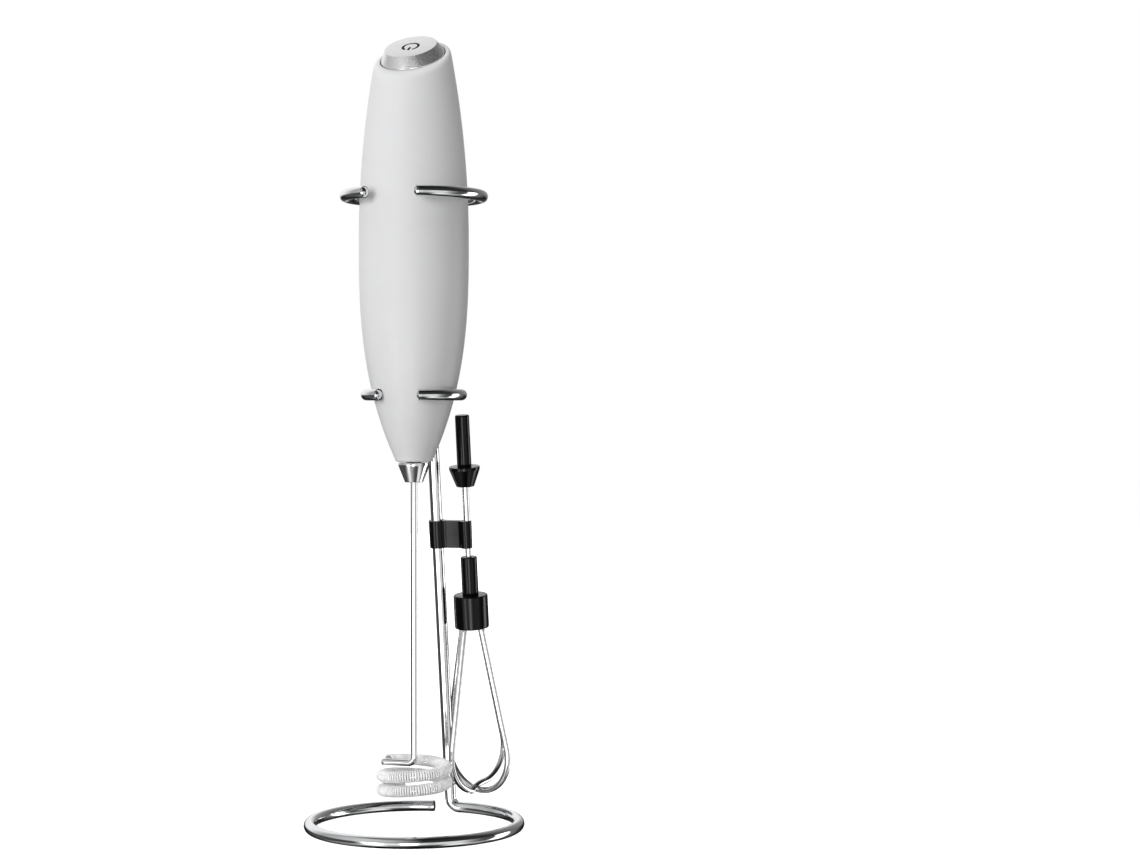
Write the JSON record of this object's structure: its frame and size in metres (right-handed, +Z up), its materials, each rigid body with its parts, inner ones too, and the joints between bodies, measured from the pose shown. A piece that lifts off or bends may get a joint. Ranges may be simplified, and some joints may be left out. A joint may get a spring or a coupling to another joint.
{
  "type": "milk frother",
  "caption": "Battery milk frother with a sloping push button and a coiled whisk, standing in a bent wire stand that also carries a clipped-on spare egg beater.",
  "frame": {"origin": "on the frother's axis, at the table the base ring stands on", "axes": "+Z up along the frother's axis, +Y towards the stand's post, so the button slopes towards -Y"},
  "size_m": [0.0684, 0.0768, 0.246],
  "materials": {
    "chrome_wire": "polished chrome plating",
    "white_plastic": "satin moulded",
    "grey_plastic": "moulded",
    "motor_steel": "drawn can",
    "brass": "stamped",
    "cell_jacket": "printed jacket",
    "contact_metal": "nickel plated",
    "board_green": "solder mask",
    "black_plastic": "gloss moulded",
    "lead_black": "insulated wire",
    "lead_red": "insulated wire",
    "lead_yellow": "insulated wire",
    "button_metal": "satin silver lacquer",
    "mark_grey": "recessed mark",
    "plunger_red": "moulded",
    "polished_steel": "polished stainless",
    "copper_winding": "wound",
    "collar_chrome": "plated",
    "coil_steel": "fine coiled spring"
  },
  "bodies": {
    "stand": {"stand_wire": "chrome_wire", "lower_ring": "chrome_wire", "upper_ring": "chrome_wire"},
    "handle": {"handle_shell": "white_plastic", "nose_bush": "grey_plastic", "chassis": "grey_plastic", "motor_can": "motor_steel", "motor_endcap": "grey_plastic", "motor_terminal_left": "brass", "motor_terminal_right": "brass", "cell_left": "cell_jacket", "cell_right": "cell_jacket", "contact_spring": "contact_metal", "contact_plate_left": "contact_metal", "contact_leaf_right": "contact_metal", "contact_bridge": "contact_metal", "switch_holder": "grey_plastic", "switch_board": "board_green", "switch_body": "black_plastic", "board_screw_left": "contact_metal", "board_screw_right": "contact_metal", "lead_black": "lead_black", "lead_red": "lead_red", "lead_yellow": "lead_yellow"},
    "cover": {"battery_cover": "white_plastic"},
    "button": {"button_cap": "button_metal", "power_mark": "mark_grey"},
    "plunger": {"switch_plunger": "plunger_red"},
    "drive": {"motor_shaft": "polished_steel", "rotor": "copper_winding", "drive_socket": "black_plastic"},
    "whisk": {"whisk_plug": "black_plastic", "whisk_collar": "collar_chrome", "whisk_shaft": "polished_steel", "whisk_coil": "coil_steel"},
    "clip": {"clip": "black_plastic"},
    "beater": {"beater_plug": "black_plastic", "beater_collar": "black_plastic", "beater_shaft": "polished_steel", "beater_neck": "black_plastic", "beater_hub": "black_plastic", "beater_loop_front": "polished_steel", "beater_loop_side": "polished_steel"}
  },
  "joints": [
    {"name": "frother_lift", "type": "slide", "parent": "stand", "child": "handle", "axis": [0, 0, 1], "range_m": [0, 0.092]},
    {"name": "battery_cover_slide", "type": "slide", "parent": "handle", "child": "cover", "axis": [0, 0, 1], "range_m": [0, 0.085]},
    {"name": "button_press", "type": "slide", "parent": "handle", "child": "button", "axis": [0, 0.515, -0.8572], "range_m": [0, 0.0012], "stiffness_N_per_m": 200, "springref_m": -0.001},
    {"name": "switch_plunger", "type": "slide", "parent": "handle", "child": "plunger", "axis": [0, 0.515, -0.8572], "range_m": [0, 0.0012]},
    {"name": "whisk_spin", "type": "hinge", "parent": "handle", "child": "drive", "pos_m": [0, 0, 0.13], "axis": [0, 0, 1], "continuous": true},
    {"name": "whisk_pull", "type": "slide", "parent": "drive", "child": "whisk", "axis": [0, 0, -1], "range_m": [0, 0.009]},
    {"name": "clip_swivel", "type": "hinge", "parent": "stand", "child": "clip", "pos_m": [0, 0.03254, 0.00165], "axis": [0, -0.1357, 0.9907], "range_deg": [-10, 90]},
    {"name": "beater_unclip", "type": "slide", "parent": "clip", "child": "beater", "axis": [0, 0.9907, 0.1357], "range_m": [0, 0.025]}
  ],
  "couplings": [
    {"joint": "switch_plunger", "follows": "button_press", "ratio": 1}
  ]
}
